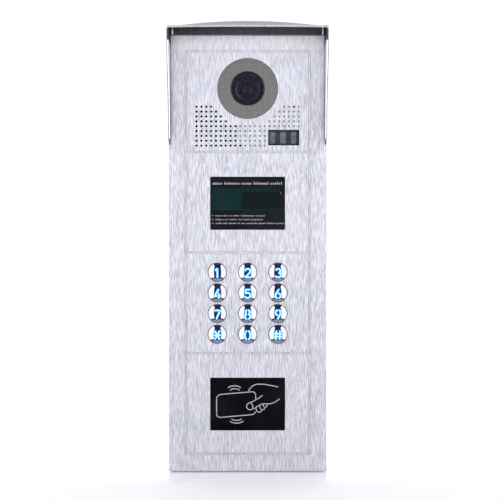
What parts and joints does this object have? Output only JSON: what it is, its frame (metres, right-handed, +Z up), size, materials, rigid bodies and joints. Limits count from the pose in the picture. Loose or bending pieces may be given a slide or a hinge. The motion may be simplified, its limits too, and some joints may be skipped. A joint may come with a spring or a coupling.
{
  "type": "door intercom panel",
  "caption": "Tall wall-mounted door station with a rain hood, tilting camera, speaker grille, display, sprung round keys and a card reader.",
  "frame": {"origin": "centre of the four wall bolts, on the back plane of the back box", "axes": "+Z up, the front panel faces -Y, +Y into the wall, +X to the right seen from the front"},
  "size_m": [0.1422, 0.087, 0.4072],
  "materials": {
    "brushed_panel": "vertical brushed, anodised",
    "hood_aluminium": "brushed sheet, anodised",
    "box_paint": "powder coat, fine texture",
    "black_rubber": "moulded, matt",
    "stainless": "turned",
    "zinc_steel": "zinc plated",
    "ring_mesh": "fine diagonal cross-hatch, grey",
    "smoked_window": "smoked acrylic, polished",
    "black_plastic": "fine moulded grain",
    "lens_glass": "coated, polished",
    "circuit_board": "solder mask",
    "black_gauze": "woven",
    "aluminium_can": "drawn can",
    "led_epoxy": "clear epoxy domes",
    "black_glass": "polished black-backed window",
    "lcd_green": "unlit liquid crystal",
    "key_chrome": "mirror plated dome",
    "key_lightguide": "blue back-lit light guide",
    "green_plastic": "moulded",
    "grey_cable": "ribbed flat cable"
  },
  "bodies": {
    "housing": {"back_box": "box_paint", "board_screws": "stainless", "board_standoffs": "zinc_steel", "cable_grommet": "black_rubber", "camera_bracket": "zinc_steel", "camera_pivots": "stainless", "camera_ring": "ring_mesh", "camera_window": "smoked_window", "card_window": "black_glass", "case_screws": "stainless", "display_window": "black_glass", "front_panel": "brushed_panel", "key_switches": "black_plastic", "keypad_board": "circuit_board", "lamp_board": "circuit_board", "lamp_leds": "led_epoxy", "lamp_window": "smoked_window", "lcd_bezel": "black_plastic", "lcd_board": "circuit_board", "lcd_glass": "lcd_green", "main_board": "circuit_board", "mic_boot": "black_rubber", "microphone": "aluminium_can", "panel_brackets": "zinc_steel", "panel_gasket": "black_rubber", "rain_hood": "hood_aluminium", "reader_board": "circuit_board", "ribbon_cables": "grey_cable", "speaker_clamps": "black_plastic", "speaker_cone": "black_gauze", "speaker_driver": "zinc_steel", "speaker_gauze": "black_gauze", "terminal_block": "green_plastic"},
    "camera_module": {"camera_barrel": "black_plastic", "camera_lens": "lens_glass", "camera_board": "circuit_board"},
    "key_1": {"key_1_cap": "key_chrome", "key_1_core": "key_lightguide"},
    "key_2": {"key_2_cap": "key_chrome", "key_2_core": "key_lightguide"},
    "key_3": {"key_3_cap": "key_chrome", "key_3_core": "key_lightguide"},
    "key_4": {"key_4_cap": "key_chrome", "key_4_core": "key_lightguide"},
    "key_5": {"key_5_cap": "key_chrome", "key_5_core": "key_lightguide"},
    "key_6": {"key_6_cap": "key_chrome", "key_6_core": "key_lightguide"},
    "key_7": {"key_7_cap": "key_chrome", "key_7_core": "key_lightguide"},
    "key_8": {"key_8_cap": "key_chrome", "key_8_core": "key_lightguide"},
    "key_9": {"key_9_cap": "key_chrome", "key_9_core": "key_lightguide"},
    "key_star": {"key_star_cap": "key_chrome", "key_star_core": "key_lightguide"},
    "key_0": {"key_0_cap": "key_chrome", "key_0_core": "key_lightguide"},
    "key_hash": {"key_hash_cap": "key_chrome", "key_hash_core": "key_lightguide"}
  },
  "joints": [
    {"name": "camera_tilt", "type": "hinge", "parent": "housing", "child": "camera_module", "pos_m": [0, -0.028, 0.1466], "axis": [1, 0, 0], "range_deg": [-10, 10]},
    {"name": "key_1_press", "type": "slide", "parent": "housing", "child": "key_1", "axis": [0, 1, 0], "range_m": [0, 0.001], "stiffness_N_per_m": 900, "springref_m": -0.0006},
    {"name": "key_2_press", "type": "slide", "parent": "housing", "child": "key_2", "axis": [0, 1, 0], "range_m": [0, 0.001], "stiffness_N_per_m": 900, "springref_m": -0.0006},
    {"name": "key_3_press", "type": "slide", "parent": "housing", "child": "key_3", "axis": [0, 1, 0], "range_m": [0, 0.001], "stiffness_N_per_m": 900, "springref_m": -0.0006},
    {"name": "key_4_press", "type": "slide", "parent": "housing", "child": "key_4", "axis": [0, 1, 0], "range_m": [0, 0.001], "stiffness_N_per_m": 900, "springref_m": -0.0006},
    {"name": "key_5_press", "type": "slide", "parent": "housing", "child": "key_5", "axis": [0, 1, 0], "range_m": [0, 0.001], "stiffness_N_per_m": 900, "springref_m": -0.0006},
    {"name": "key_6_press", "type": "slide", "parent": "housing", "child": "key_6", "axis": [0, 1, 0], "range_m": [0, 0.001], "stiffness_N_per_m": 900, "springref_m": -0.0006},
    {"name": "key_7_press", "type": "slide", "parent": "housing", "child": "key_7", "axis": [0, 1, 0], "range_m": [0, 0.001], "stiffness_N_per_m": 900, "springref_m": -0.0006},
    {"name": "key_8_press", "type": "slide", "parent": "housing", "child": "key_8", "axis": [0, 1, 0], "range_m": [0, 0.001], "stiffness_N_per_m": 900, "springref_m": -0.0006},
    {"name": "key_9_press", "type": "slide", "parent": "housing", "child": "key_9", "axis": [0, 1, 0], "range_m": [0, 0.001], "stiffness_N_per_m": 900, "springref_m": -0.0006},
    {"name": "key_star_press", "type": "slide", "parent": "housing", "child": "key_star", "axis": [0, 1, 0], "range_m": [0, 0.001], "stiffness_N_per_m": 900, "springref_m": -0.0006},
    {"name": "key_0_press", "type": "slide", "parent": "housing", "child": "key_0", "axis": [0, 1, 0], "range_m": [0, 0.001], "stiffness_N_per_m": 900, "springref_m": -0.0006},
    {"name": "key_hash_press", "type": "slide", "parent": "housing", "child": "key_hash", "axis": [0, 1, 0], "range_m": [0, 0.001], "stiffness_N_per_m": 900, "springref_m": -0.0006}
  ]
}
